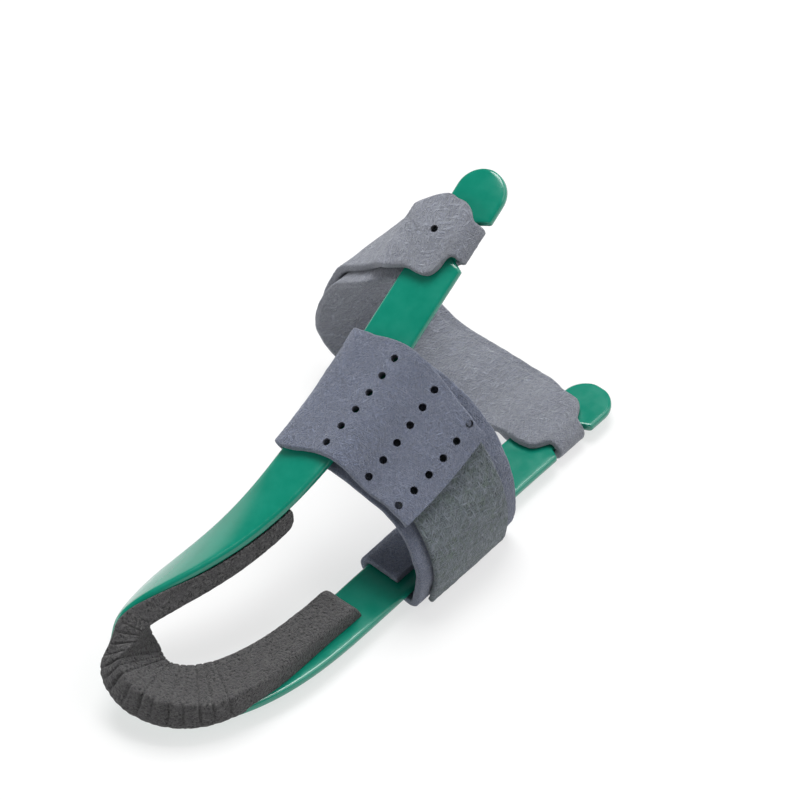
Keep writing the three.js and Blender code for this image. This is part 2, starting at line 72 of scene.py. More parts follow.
# Straps, in millimetres, with shares and counts named as such
CLEARANCE = 0.3
STRAP_THICKNESS = 2.2
STRAP_EDGE_ROUND = 0.6
SETTLE_LENGTH = 8
FRONT_STRAP_FROM_TIP = 68
FRONT_STRAP_WIDTH = 35
FRONT_STRAP_LAP = 24
FRONT_STRAP_TAIL = 9
FRONT_STRAP_SKEW = 1.3
BALL_BULGE = 18
BALL_LEAN = 6
HOLE_DIAMETER = 2
HOLE_PITCH = 5.4
HOLE_ROWS = 6
HOLE_COLUMNS = 3
FIRST_COLUMN = 15
COLUMN_PITCH = 10.5
PATCH_THICKNESS = 1.6
PATCH_OVERLAP = 5
PATCH_END_SHARE = 0.2
OUTER_TOE_INSET = 1.6
OUTER_HEEL_INSET = 3.8
PATCH_TOE_INSET = 3.8
PATCH_HEEL_INSET = 5.2
REAR_STRAP_WIDTH = 30
NECK_GATHER = 10
INSTEP_BULGE = 42
INSTEP_LEAN = 20
REAR_STRAP_STAGGER = 4
REAR_STRAP_SWEEP = 5.5
GATHER_RUN = 5
GATHER_SHARE = 0.57
REAR_HOLE_FROM_FOLD = 8
REAR_HOLE_SHARE = 0.62
HOLE_DEPTH = STRAP_THICKNESS + 2 * CLEARANCE

# The straps' grids: the step along them in millimetres, and how often they are smoothed
STRAP_STEP = 0.7
SMOOTHING_PASSES = 4

ARM_HALF = ARM_WIDTH / 2
ARM_MID = ARM_THICKNESS / 2
STRAP_MID = STRAP_THICKNESS / 2
STRAP_REACH = ARM_MID + CLEARANCE + STRAP_MID
LAYER_PITCH = STRAP_THICKNESS + CLEARANCE
TURN_EDGE = ARM_MID - CLEARANCE / 2
FOLD_EDGE = ARM_HALF - TURN_EDGE
NECK_HALF = ARM_HALF - NECK_DEPTH
NECK_EDGE = NECK_HALF - TURN_EDGE
PAD_SEAT = -ARM_MID - PAD_SEAT_GAP
FRONT_HALF = FRONT_STRAP_WIDTH / 2
OVER_ARM = FOLD_EDGE + ARM_HALF
OUTER_LENGTH = OVER_ARM + FRONT_STRAP_LAP

# Centreline of the splint from the upper paddle's tip, along the upper arm, round the bend and back
# along the lower arm. The first three columns are shares of SPLINT_LENGTH, SPLINT_SPREAD and
# INSTEP_HEIGHT, and roll is in degrees.
SPLINT_COLUMNS = ("along", "across", "up", "roll")
SPLINT_ROWS = (
    (0.884, 0.009, 1.003, 90),
    (0.832, 0.061, 0.941, 90),
    (0.723, 0.164, 0.815, 90),
    (0.626, 0.255, 0.703, 90),
    (0.516, 0.366, 0.589, 88),
    (0.410, 0.450, 0.495, 84),
    (0.329, 0.493, 0.422, 76),
    (0.245, 0.511, 0.357, 67),
    (0.168, 0.500, 0.305, 58),
    (0.097, 0.479, 0.251, 45),
    (0.043, 0.500, 0.184, 14),
    (0.025, 0.588, 0.111, -40),
    (0.023, 0.754, 0.062, -68),
    (0.070, 0.911, 0.043, -80),
    (0.161, 0.989, 0.038, -84),
    (0.277, 0.968, 0.035, -86),
    (0.419, 0.864, 0.032, -90),
    (0.581, 0.741, 0.032, -90),
    (0.742, 0.612, 0.032, -90),
    (0.877, 0.514, 0.032, -90),
    (1.000, 0.425, 0.032, -90),
)

# The toe pad along its own length, with inset and lip as shares of PAD_INSET and PAD_LIP
PAD_COLUMNS = ("at", "inset", "lip")
PAD_ROWS = (
    (0.00, 0.00, 0.0),
    (0.22, -0.06, 0.1),
    (0.34, -0.25, 0.5),
    (0.46, -0.35, 1.0),
    (0.62, -0.30, 1.0),
    (0.74, 0.20, 0.4),
    (0.86, 0.90, 0.0),
    (1.00, 1.00, 0.0),
)

# The front strap's loop, upwards, and the rear strap's loop, downwards, for their toe-side and heel-side
# edges. Rise is a share of the way from arm to arm, out of the bulge and back of the lean.
STRAP_COLUMNS = ("toe rise", "toe out", "toe back", "heel rise", "heel out", "heel back")
BALL_ROWS = (
    (0.148, 0.36, 0.17, 0.114, 0.38, 0.37),
    (0.353, 0.68, 0.48, 0.279, 0.67, 0.58),
    (0.529, 0.80, 0.70, 0.423, 0.86, 0.77),
    (0.646, 0.78, 0.85, 0.567, 0.97, 0.88),
    (0.740, 0.67, 0.90, 0.691, 0.95, 1.00),
    (0.830, 0.45, 0.72, 0.825, 0.87, 0.93),
    (0.920, 0.23, 0.35, 0.948, 0.61, 0.67),
)
INSTEP_ROWS = (
    (0.084, 0.24, 0.38, 0.079, 0.16, 0.17),
    (0.253, 0.59, 0.62, 0.223, 0.41, 0.28),
    (0.459, 0.84, 0.86, 0.413, 0.68, 0.38),
    (0.665, 1.03, 1.04, 0.620, 0.88, 0.50),
    (0.843, 1.13, 1.09, 0.819, 1.00, 0.53),
    (0.948, 1.10, 1.04, 0.946, 0.98, 0.55),
    (0.987, 0.94, 0.88, 0.987, 0.81, 0.45),
    (0.988, 0.58, 0.53, 0.988, 0.48, 0.25),
    (0.990, 0.25, 0.18, 0.990, 0.17, 0.05),
)

# How much wider each strap's top layer is at its toe and heel edges, at ways past the fold of the
# front one and past the upper arm's edge for the rear one. All three are shares of ARM_WIDTH.
EDGE_COLUMNS = ("past", "toe", "heel")
FRONT_EDGE_ROWS = (
    (0.00, 0.19, -0.10),
    (0.20, 0.15, -0.08),
    (0.45, 0.04, 0.00),
    (0.70, -0.05, 0.03),
    (0.95, -0.10, 0.02),
    (1.15, -0.11, 0.00),
    (1.45, -0.07, -0.02),
    (1.80, 0.00, -0.03),
    (2.30, 0.05, 0.00),
    (2.80, 0.06, 0.04),
    (3.20, 0.00, 0.00),
)
REAR_EDGE_ROWS = (
    (-1.00, 0.00, 0.00),
    (-0.90, 0.00, 0.06),
    (-0.78, 0.00, 0.15),
    (-0.62, 0.00, 0.16),
    (-0.46, -0.03, 0.14),
    (-0.36, -0.05, 0.17),
    (-0.25, -0.08, 0.20),
    (-0.15, -0.11, 0.08),
    (-0.04, -0.10, -0.16),
    (0.08, -0.04, -0.26),
    (0.19, 0.03, -0.26),
    (0.31, 0.10, -0.22),
    (0.43, 0.15, -0.13),
    (0.54, 0.12, 0.00),
    (0.66, 0.06, 0.00),
    (0.80, 0.00, 0.00),
)

# Creases pressed across the foam in the splint's bend, at shares of the pad's length, with depth and
# width in millimetres
CREASE_COLUMNS = ("at", "depth", "width")
CREASE_ROWS = (
    (0.372, 0.25, 0.30),
    (0.391, 0.35, 0.35),
    (0.415, 0.55, 0.35),
    (0.438, 0.40, 0.25),
    (0.462, 0.65, 0.40),
    (0.481, 0.45, 0.30),
    (0.499, 0.75, 0.35),
    (0.523, 0.55, 0.30),
    (0.545, 0.80, 0.40),
    (0.563, 0.50, 0.25),
    (0.588, 0.75, 0.35),
    (0.609, 0.55, 0.30),
    (0.634, 0.70, 0.35),
    (0.655, 0.50, 0.30),
    (0.682, 0.55, 0.35),
)


def column(rows, columns, name):
    return np.array([row[columns.index(name)] for row in rows], float)


def unit(vectors):
    return vectors / np.linalg.norm(vectors, axis=-1, keepdims=True)


def eased(t):
    held = np.clip(t, 0, 1)
    return held * held * (3 - 2 * held)


def spline_through(knots, values):
    """Natural cubic spline, as a function of an array of positions between the knots."""
    knots = np.asarray(knots, float)
    values = np.asarray(values, float)
    steps = np.diff(knots)
    slopes = (np.diff(values, axis=0).T / steps).T
    last = len(knots) - 1
    system = np.eye(last + 1)
    kinks = np.zeros_like(values)
    for i in range(1, last):
        system[i, i - 1:i + 2] = steps[i - 1], 2 * (steps[i - 1] + steps[i]), steps[i]
        kinks[i] = 6 * (slopes[i] - slopes[i - 1])
    bends = np.linalg.solve(system, kinks.reshape(last + 1, -1)).reshape(values.shape)
    spread = (-1,) + (1,) * (values.ndim - 1)

    def at(position):
        position = np.asarray(position, float)
        i = np.clip(np.searchsorted(knots, position, side="right") - 1, 0, last - 1)
        step = steps[i].reshape(spread)
        left = (knots[i + 1] - position).reshape(spread)
        right = (position - knots[i]).reshape(spread)
        cubic = (bends[i] * left ** 3 + bends[i + 1] * right ** 3) / (6 * step)
        from_left = (values[i] / step - bends[i] * step / 6) * left
        from_right = (values[i + 1] / step - bends[i + 1] * step / 6) * right
        return cubic + from_left + from_right

    return at


class Line:
    """A smooth line through points, walked by its own length. Extra values ride along."""

    fine_steps = 40
    probe = 0.2

    def __init__(self, points, extra=None):
        points = np.asarray(points, float)
        chords = np.linalg.norm(np.diff(points, axis=0), axis=1)
        knots = np.concatenate(([0], np.cumsum(chords)))
        self.place = spline_through(knots, points)
        self.extra = spline_through(knots, np.zeros(len(points)) if extra is None else extra)
        self.spots = np.linspace(0, knots[-1], self.fine_steps * len(points) + 1)
        hops = np.linalg.norm(np.diff(self.place(self.spots), axis=0), axis=1)
        self.walked = np.concatenate(([0], np.cumsum(hops)))
        self.length = self.walked[-1]

    def knot_at(self, distance):
        return np.interp(distance, self.walked, self.spots)

    def at(self, distance):
        return self.place(self.knot_at(distance))

    def extra_at(self, distance):
        return self.extra(self.knot_at(distance))

    def tangent(self, distance):
        ahead = np.minimum(distance + self.probe, self.length)
        behind = np.maximum(distance - self.probe, 0)
        return unit(self.at(ahead) - self.at(behind))


splint_line = Line(
    np.stack((
        column(SPLINT_ROWS, SPLINT_COLUMNS, "across") * SPLINT_SPREAD,
        column(SPLINT_ROWS, SPLINT_COLUMNS, "along") * SPLINT_LENGTH,
        column(SPLINT_ROWS, SPLINT_COLUMNS, "up") * INSTEP_HEIGHT,
    ), axis=1),
    np.radians(column(SPLINT_ROWS, SPLINT_COLUMNS, "roll")),
)


def on_splint(distance, across, outward):
    """Points beside the splint's centreline: across runs from its inner-side edge to its other edge."""
    distance, across, outward = np.broadcast_arrays(distance, across, outward)
    walk = distance.ravel().astype(float)
    ahead = splint_line.tangent(walk)
    level = unit(np.cross(ahead, UP))
    upright = np.cross(level, ahead)
    roll = splint_line.extra_at(walk)[:, None]
    out = level * np.cos(roll) + upright * np.sin(roll)
    wide = level * np.sin(roll) - upright * np.cos(roll)
    points = splint_line.at(walk) + wide * across.ravel()[:, None] + out * outward.ravel()[:, None]
    return points.reshape(distance.shape + (3,))


def round_end(distance, radius):
    """Share of full size at a distance from a round end."""
    short = np.maximum(1 - distance / radius, 0)
    return np.sqrt(np.maximum(1 - short * short, 0))


def rounded_stations(length, end_round, step):
    """Distances from end to end, closer together on the quarter rounds at both ends."""
    turn_step = 6
    turns = np.radians(np.arange(turn_step, 90, turn_step))
    ends = end_round * (1 - np.cos(turns))
    middle = np.linspace(end_round, length - end_round, round((length - 2 * end_round) / step) + 1)
    return np.concatenate((ends, middle, length - ends[::-1]))


def add_object(name, data):
    made = bpy.data.objects.new(name, data)
    bpy.context.collection.objects.link(made)
    return made


def lofted(name, rings, along, around, is_loop=False):
    """Closed mesh through rings of points, in millimetres, with along and around as its UV map."""
    count, size = rings.shape[:2]
    spans = count if is_loop else count - 1
    faces = []
    corners = []
    for i in range(spans):
        here = i * size
        following = ((i + 1) % count) * size
        for j in range(size):
            k = (j + 1) % size
            faces.append((here + j, here + k, following + k, following + j))
            corners += [(i, j), (i, j + 1), (i + 1, j + 1), (i + 1, j)]
    if not is_loop:
        last = (count - 1) * size
        for j in range(size // 2 - 1):
            far = size - 1 - j
            faces.append((j, far, far - 1, j + 1))
            faces.append((last + j, last + j + 1, last + far - 1, last + far))
            corners += [(0, j), (0, far), (0, far - 1), (0, j + 1)]
            corners += [(count - 1, j), (count - 1, j + 1), (count - 1, far - 1), (count - 1, far)]
    mesh = bpy.data.meshes.new(name)
    mesh.from_pydata((rings.reshape(-1, 3) * MM).tolist(), [], faces)
    corners = np.array(corners)
    uv = np.stack((along[corners[:, 0]], around[corners[:, 1]]), axis=1) * MM
    mesh.uv_layers.new(name="felt_map").data.foreach_set("uv", uv.ravel())
    mesh.shade_smooth()
    points = np.array([v.co for v in mesh.vertices])
    triangles = np.array([(f[0], f[1], f[2]) for f in faces] + [(f[0], f[2], f[3]) for f in faces])
    a, b, c = (points[triangles[:, i]] for i in range(3))
    if np.einsum("ij,ij->i", a, np.cross(b, c)).sum() < 0:
        mesh.flip_normals()
    return add_object(name, mesh)


def around_ring(ring):
    """Distance round a ring to each point, and back to the first."""
    hops = np.linalg.norm(np.roll(ring, -1, axis=0) - ring, axis=1)
    return np.concatenate(([0], np.cumsum(hops)))


def ripples(points, size, seed):
    """Smooth noise from -1 to 1 at points in millimetres, with lumps of a size."""
    shift = Vector((seed, 0, 0))
    flat = points.reshape(-1, 3) / size
    values = [noise.noise(Vector(p) + shift) for p in flat]
    return np.array(values).reshape(points.shape[:-1])


def splint_half_width(distance):
    """Round tips, then a neck with shoulders behind each paddle."""
    from_tip = np.minimum(distance, splint_line.length - distance)
    from_neck = np.abs(from_tip - NECK_FROM_TIP)
    neck = 1 - eased((from_neck - NECK_LENGTH / 2 + SHOULDER_LENGTH / 2) / SHOULDER_LENGTH)
    return ARM_HALF * round_end(from_tip, ARM_HALF) - NECK_DEPTH * neck


def splint_section(half):
    """Across and outward places round a crowned band with rounded edges, from a lower corner."""
    edge_steps = 5
    face_steps = 12
    round_share = 0.8
    radius = np.minimum(ARM_EDGE_ROUND, half * round_share)
    turns = np.radians(np.linspace(0, 90, edge_steps + 1))
    flats = np.linspace(-1, 1, face_steps + 1)[1:-1]
    across = []
    outward = []
    for turn in turns:
        across.append(-half + radius * (1 - np.cos(turn)))
        outward.append(-ARM_MID + radius * (1 - np.sin(turn)))
    for flat in flats:
        across.append((half - radius) * flat)
        outward.append(np.full_like(half, -ARM_MID))
    for turn in turns[::-1]:
        across.append(half - radius * (1 - np.cos(turn)))
        outward.append(-ARM_MID + radius * (1 - np.sin(turn)))
    lower_across, lower_outward = np.array(across), np.array(outward)
    crown = ARM_CROWN * (1 - (lower_across / half) ** 2)
    upper_across = lower_across[::-1]
    upper_outward = -lower_outward[::-1] - ARM_CROWN + crown[::-1]
    return (
        np.concatenate((lower_across, upper_across)).T,
        np.concatenate((lower_outward, upper_outward)).T,
    )


def make_splint():
    """The moulded hairpin: one section swept from tip to tip, with finer stations at the necks."""
    step = 1.2
    neck_step = 0.25
    least_step = neck_step / 3
    plain = rounded_stations(splint_line.length, ARM_HALF, step)
    reach = (NECK_LENGTH + SHOULDER_LENGTH) / 2 + neck_step
    near = np.arange(NECK_FROM_TIP - reach, NECK_FROM_TIP + reach, neck_step)
    walk = np.unique(np.concatenate((plain, near, splint_line.length - near)).round(3))
    walk = walk[np.concatenate(([True], np.diff(walk) > least_step))]
    across, outward = splint_section(splint_half_width(walk))
    from_tip = np.minimum(walk, splint_line.length - walk)
    thinned = 1 - ARM_EDGE_ROUND / ARM_MID * (1 - round_end(from_tip, ARM_EDGE_ROUND))
    rings = on_splint(walk[:, None], across, outward * thinned[:, None])
    return lofted("splint_shell", rings, walk, around_ring(rings[len(rings) // 2]))


def pad_stations(length):
    """Distances along the toe pad, closer together where it is creased."""
    step = 0.6
    crease_step = 0.12
    margin = 1.5
    crease_at = column(CREASE_ROWS, CREASE_COLUMNS, "at") * length
    creased = (crease_at[0] - margin, crease_at[-1] + margin)
    walk = rounded_stations(length, PAD_END_ROUND, step)
    return np.sort(np.concatenate((
        walk[(walk < creased[0]) | (walk > creased[1])], np.arange(*creased, crease_step))))


def pad_section(walk, length):
    """Across and outward places round the toe pad's section at each distance along it."""
    share = walk / length
    at = column(PAD_ROWS, PAD_COLUMNS, "at")
    inset = spline_through(at, column(PAD_ROWS, PAD_COLUMNS, "inset"))(share)
    lip = spline_through(at, column(PAD_ROWS, PAD_COLUMNS, "lip"))(share)
    thick = PAD_THICKNESS * round_end(np.minimum(walk, length - walk), PAD_END_ROUND)
    left = -PAD_WIDTH / 2 + PAD_INSET * inset
    right = np.full_like(walk, PAD_WIDTH / 2)
    least_lip = 0.03
    most_lip_round = 0.3
    top = PAD_SEAT + np.maximum(PAD_LIP * lip, least_lip)
    wall = np.maximum(left + least_lip, -ARM_HALF - PAD_SEAT_GAP)
    round_share = 0.4
    radius = np.minimum(PAD_EDGE_ROUND, thick * round_share)
    face = PAD_SEAT - thick
    edge_turns = np.radians((0, 22, 45, 67, 90))
    face_steps, side_steps, seat_steps, cut_steps = 15, 5, 9, 8
    across = []
    outward = []

    def add_point(x, y):
        across.append(x)
        outward.append(y)

    for turn in edge_turns:
        add_point(left + radius * (1 - np.cos(turn)), face + radius * (1 - np.sin(turn)))
    for flat in np.linspace(0, 1, face_steps + 1)[1:-1]:
        add_point(left + radius + (right - left - 2 * radius) * flat, face)
    for turn in edge_turns[::-1]:
        add_point(right - radius * (1 - np.cos(turn)), face + radius * (1 - np.sin(turn)))
    for flat in np.linspace(0, 1, side_steps + 1)[1:]:
        add_point(right, face + radius + (thick - radius) * flat)
    for flat in np.linspace(0, 1, seat_steps + 1)[1:]:
        add_point(right + (wall - right) * flat, np.full_like(walk, PAD_SEAT))
    add_point(wall, top)
    lip_half = (wall - left) / 2
    add_point(left + lip_half, top + np.minimum(lip_half, most_lip_round))
    add_point(left, top)
    for flat in np.linspace(1, 0, cut_steps + 1)[1:-1]:
        add_point(left, face + radius + (top - face - radius) * flat)
    return np.array(across).T, np.array(outward).T


def make_toe_pad():
    """Foam along the splint's inner face, creased in the bend and pitted where it is free."""
    length = splint_line.length - 2 * PAD_FROM_TIP
    walk = pad_stations(length)
    across, outward = pad_section(walk, length)
    crease_at, crease_depth, crease_width = (
        column(CREASE_ROWS, CREASE_COLUMNS, name) for name in CREASE_COLUMNS)
    away = (walk[:, None] - crease_at * length) / crease_width
    creases = (crease_depth * np.exp(-(away ** 2))).sum(axis=1)[:, None]
    on_cut_side = eased((-across - PAD_WIDTH / 4) / (PAD_WIDTH / 4))
    on_face = eased((PAD_SEAT - outward) / (PAD_THICKNESS / 2))
    lip_fade = 0.7
    fade_start = 0.3
    on_lip = eased((outward - PAD_SEAT) / PAD_LIP + fade_start)
    across = across + creases * on_cut_side * (1 - lip_fade * on_lip)
    outward = outward + creases * on_face / 2
    rings = on_splint(PAD_FROM_TIP + walk[:, None], across, outward)
    pore_depth = 0.12
    fine_size, fine_seed = 0.9, 3
    broad_size, broad_seed, broad_share = 2.6, 5, 0.6
    pores = ripples(rings, fine_size, fine_seed) + broad_share * ripples(rings, broad_size, broad_seed)
    free = (on_cut_side + on_face).clip(0, 1)
    middle = rings.mean(axis=1, keepdims=True)
    rings = rings - unit(rings - middle) * (pore_depth * (1 + pores) * free)[..., None]
    return lofted("toe_pad_foam", rings, walk, around_ring(rings[len(rings) // 2]))


# A strap is worked out on lines along it, from its toe-side edge to its heel-side edge
LINE_SHARES = np.array((0, 0.25, 0.5, 0.75, 1))
FINE_SHARES = np.linspace(0, 1, 41)
MIDDLE_LINE = len(LINE_SHARES) // 2
MIDDLE_SHARE = len(FINE_SHARES) // 2


def toeward(share):
    """Place across a strap, from 1 at its toe-side edge to -1 at its heel-side edge."""
    return 1 - 2 * share


def upper_arm(from_tip, toes):
    """Distance along the splint on its upper arm, with toes as the way from there to the bend."""
    return from_tip + toes


def lower_arm(from_tip, toes):
    return splint_line.length - from_tip - toes


def across_strap(grid, shares):
    """Points of a strap's grid, shaped (stations, lines, 3), at shares of its width for each station."""
    last = grid.shape[1] - 1
    k = np.clip(np.floor(shares * last).astype(int), 0, last - 1)
    part = (shares * last - k)[..., None]
    row = np.arange(len(grid))[:, None]
    return grid[row, k] * (1 - part) + grid[row, k + 1] * part


def refined(lines):
    """A strap's few lines, shaped (stations, lines, 3), turned into many by a spline across it."""
    return spline_through(LINE_SHARES, lines.transpose(1, 0, 2))(FINE_SHARES).transpose(1, 0, 2)


def strap_normals(grid, is_loop=False):
    if is_loop:
        along = np.roll(grid, -1, axis=0) - np.roll(grid, 1, axis=0)
    else:
        along = np.gradient(grid, axis=0)
    return unit(np.cross(np.gradient(grid, axis=1), along))


def widths(grid):
    return np.linalg.norm(grid[:, -1] - grid[:, 0], axis=1)


def table_points(rows, share, start, finish, out, back):
    """Points of one line of a strap between two ends, bulging out sideways and leaning back."""
    def between(name):
        toe, heel = (column(rows, STRAP_COLUMNS, f"{end} {name}") for end in ("toe", "heel"))
        return toe + (heel - toe) * share

    points = start + (finish - start) * between("rise")[:, None]
    points[:, 0] += out * between("out")
    points[:, 1] += back * between("back")
    return points


def fold(arm, from_tip, half, edge, side):
    """Half turn round an arm's edge, from its inner face to its outer face."""
    steps = 18
    turn = np.radians(np.linspace(-90, 90, steps + 1))[:, None]
    places = arm(from_tip, half * toeward(LINE_SHARES))
    return refined(on_splint(
        places, side * (edge + STRAP_REACH * np.cos(turn)), STRAP_REACH * np.sin(turn)))


# Ways across the lower and the upper arm at which the front strap lies flat, as shares of ARM_HALF
HELD_UNDER = np.array((0, 0.5, 0.8, 1.05))
HELD_OVER = np.array((1.05, 0.7, 0))


def ball_line(share):
    lower = lower_arm(FRONT_STRAP_FROM_TIP, FRONT_HALF * toeward(share))
    upper = upper_arm(FRONT_STRAP_FROM_TIP, FRONT_HALF * toeward(share))
    start = on_splint(lower, -ARM_HALF, STRAP_REACH)
    finish = on_splint(upper, -ARM_HALF, -STRAP_REACH)
    return Line(np.concatenate((
        on_splint(lower, [FOLD_EDGE], STRAP_REACH),
        on_splint(lower, -ARM_HALF * HELD_UNDER, STRAP_REACH),
        table_points(BALL_ROWS, share, start, finish, BALL_BULGE, BALL_LEAN),
        on_splint(upper, -ARM_HALF * HELD_OVER, -STRAP_REACH),
        on_splint(upper, [FOLD_EDGE], -STRAP_REACH),
    )))


ball_lines = [ball_line(share) for share in LINE_SHARES]


def skewed(distance, share):
    return distance - FRONT_STRAP_SKEW * toeward(share) * np.minimum(distance / FIRST_COLUMN, 1)


def trimmed(width, toe_inset, heel_inset):
    """Shares across a strap of a width that leave out an inset at its toe and its heel edge."""
    toe = toe_inset / width
    heel = heel_inset / width
    return toe[:, None] + FINE_SHARES * (1 - toe - heel)[:, None]


def outer_front(distance):
    """The front strap's outer layer at distances from its fold round the upper arm."""
    inner = refined(np.stack([
        line.at(line.length - skewed(distance, share))
        for line, share in zip(ball_lines, LINE_SHARES)], axis=1))
    faces = -strap_normals(inner)
    past = distance - OVER_ARM
    settle = 1 - eased(past / SETTLE_LENGTH)
    climb = 1 - eased((OUTER_LENGTH - distance - PATCH_OVERLAP) / SETTLE_LENGTH)
    lift = (
        LAYER_PITCH + (ARM_THICKNESS + CLEARANCE) * settle + (PATCH_THICKNESS + CLEARANCE) * climb)
    inset = eased(past / FRONT_STRAP_LAP)
    kept = trimmed(widths(inner), OUTER_TOE_INSET * inset, OUTER_HEEL_INSET * inset)
    grid = across_strap(inner, kept) + across_strap(faces, kept) * lift[:, None, None]
    across = FOLD_EDGE - skewed(distance[:, None], FINE_SHARES)
    places = upper_arm(FRONT_STRAP_FROM_TIP, FRONT_HALF * toeward(FINE_SHARES))
    flat = on_splint(places, across, STRAP_REACH)
    return np.where((across > -ARM_HALF)[..., None], flat, grid)


def stepped_out(rows, past):
    """How far each share across a strap moves, in millimetres, where its edges step out or in."""
    at, toe, heel = (column(rows, EDGE_COLUMNS, name) for name in EDGE_COLUMNS)
    toeward_step, heelward_step = (
        ARM_WIDTH * np.interp(past, at, step)[:, None] for step in (toe, heel))
    return heelward_step * eased(2 * FINE_SHARES - 1) - toeward_step * eased(1 - 2 * FINE_SHARES)


def smoothed(grid, is_loop=False):
    """The grid with its bends along the strap softened, its ends held."""
    for _ in range(SMOOTHING_PASSES):
        if is_loop:
            grid = grid / 2 + (np.roll(grid, 1, axis=0) + np.roll(grid, -1, axis=0)) / 4
        else:
            inside = grid[1:-1] / 2 + (grid[:-2] + grid[2:]) / 4
            grid = np.concatenate((grid[:1], inside, grid[-1:]))
    return grid


def strap_section(width, thickness, pitch):
    """Shares of the width and heights round a strap's section, for each of several widths."""
    edge_turns = np.radians((0, 25, 50, 70, 90))
    least_flat = 0.05
    fewest_flats = 4
    radius = min(STRAP_EDGE_ROUND, thickness / 2 - least_flat)
    flats = np.linspace(0, 1, max(fewest_flats, round(width.mean() / pitch)))[1:-1]
    from_toe = [radius * (1 - np.cos(turn)) + 0 * width for turn in edge_turns]
    heights = [-thickness / 2 + radius * (1 - np.sin(turn)) for turn in edge_turns]
    from_toe += [radius + (width - 2 * radius) * flat for flat in flats]
    heights += [-thickness / 2] * len(flats)
    from_toe += [width - radius * (1 - np.cos(turn)) for turn in edge_turns[::-1]]
    heights += [-thickness / 2 + radius * (1 - np.sin(turn)) for turn in edge_turns[::-1]]
    shares = np.array(from_toe).T / width[:, None]
    heights = np.array(heights)
    return (
        np.concatenate((shares, shares[:, ::-1]), axis=1),
        np.concatenate((heights, -heights[::-1])),
    )


def strap_mesh(name, grid, thickness, seed, is_loop=False):
    """Felt wall on both sides of a strap's grid, with a soft uneven surface and edges."""
    pitch = 0.7
    lump, lump_size, lump_seed = 0.10, 1.1, seed + 23
    wave, wave_size, wave_seed = 0.16, 7.0, seed + 11
    edge_wave, edge_size, edge_reach = 0.22, 3.5, 2.5
    normals = strap_normals(grid, is_loop)
    width = widths(grid)
    shares, heights = strap_section(width, thickness, pitch)
    mid = across_strap(grid, shares)
    wander = ripples(mid[:, [0, shares.shape[1] // 2]], edge_size, seed)
    side = np.where(shares < 0.5, wander[:, :1], wander[:, 1:])
    from_edge = width[:, None] / 2 - np.abs(shares - 0.5) * width[:, None]
    at_edge = eased(1 - from_edge / edge_reach)
    shares = shares + edge_wave * side * at_edge / width[:, None]
    mid = across_strap(grid, shares)
    faces = across_strap(normals, shares)
    level = mid + faces * heights[:, None]
    rise = heights + wave * ripples(mid, wave_size, wave_seed)
    rise = rise + lump * np.sign(heights) * ripples(level, lump_size, lump_seed)
    rings = mid + faces * rise[..., None]
    middle = grid[:, MIDDLE_SHARE]
    along = np.concatenate(([0], np.cumsum(np.linalg.norm(np.diff(middle, axis=0), axis=1))))
    if is_loop:
        along = np.append(along, along[-1] + np.linalg.norm(middle[0] - middle[-1]))
    return lofted(name, rings, along, around_ring(rings[len(rings) // 2]), is_loop)


def punch(piece, spots):
    """Cuts round holes through a strap at spots, each a centre and an axis in millimetres."""
    sides = 20
    rim_angle = 60
    off_axis = UP + 0.1
    corners = []
    faces = []
    for centre, axis in spots:
        across = unit(np.cross(axis, off_axis))
        other = np.cross(axis, across)
        base = len(corners)
        for end in (-1, 1):
            for turn in np.linspace(0, 2 * math.pi, sides, endpoint=False):
                spoke = across * math.cos(turn) + other * math.sin(turn)
                corner = centre + axis * end * HOLE_DEPTH / 2 + spoke * HOLE_DIAMETER / 2
                corners.append(tuple(corner * MM))
        for i in range(sides):
            k = (i + 1) % sides
            faces.append((base + i, base + k, base + sides + k, base + sides + i))
        faces.append(tuple(base + i for i in reversed(range(sides))))
        faces.append(tuple(base + sides + i for i in range(sides)))
    mesh = bpy.data.meshes.new("punch")
    mesh.from_pydata(corners, [], faces)
    mesh.uv_layers.new(name="felt_map")
    pins = add_object("punch", mesh)
    cut = piece.modifiers.new("holes", "BOOLEAN")
    cut.operation = "DIFFERENCE"
    cut.solver = "EXACT"
    cut.object = pins
    evaluated = piece.evaluated_get(bpy.context.evaluated_depsgraph_get())
    punched = bpy.data.meshes.new_from_object(evaluated)
    piece.modifiers.clear()
    plain = piece.data
    piece.data = punched
    bpy.data.meshes.remove(plain)
    bpy.data.objects.remove(pins)
    piece.data.set_sharp_from_angle(angle=math.radians(rim_angle))


def front_hole_spots():
    """Centre and axis of each hole through the front strap's outer layer."""
    probe = 0.3
    columns = FIRST_COLUMN + COLUMN_PITCH * np.arange(HOLE_COLUMNS) - STRAP_REACH - STRAP_MID
    offsets = (np.arange(HOLE_ROWS) - (HOLE_ROWS - 1) / 2) * HOLE_PITCH
    spots = []
    for distance in columns:
        near = outer_front(distance + probe * np.array((-1, 0, 1)))
        across = np.tile(0.5 + offsets / widths(near)[1], (3, 1))
        centres = across_strap(near, across)[1]
        axes = unit(across_strap(strap_normals(near), across)[1])
        spots += list(zip(centres, axes))
    return spots


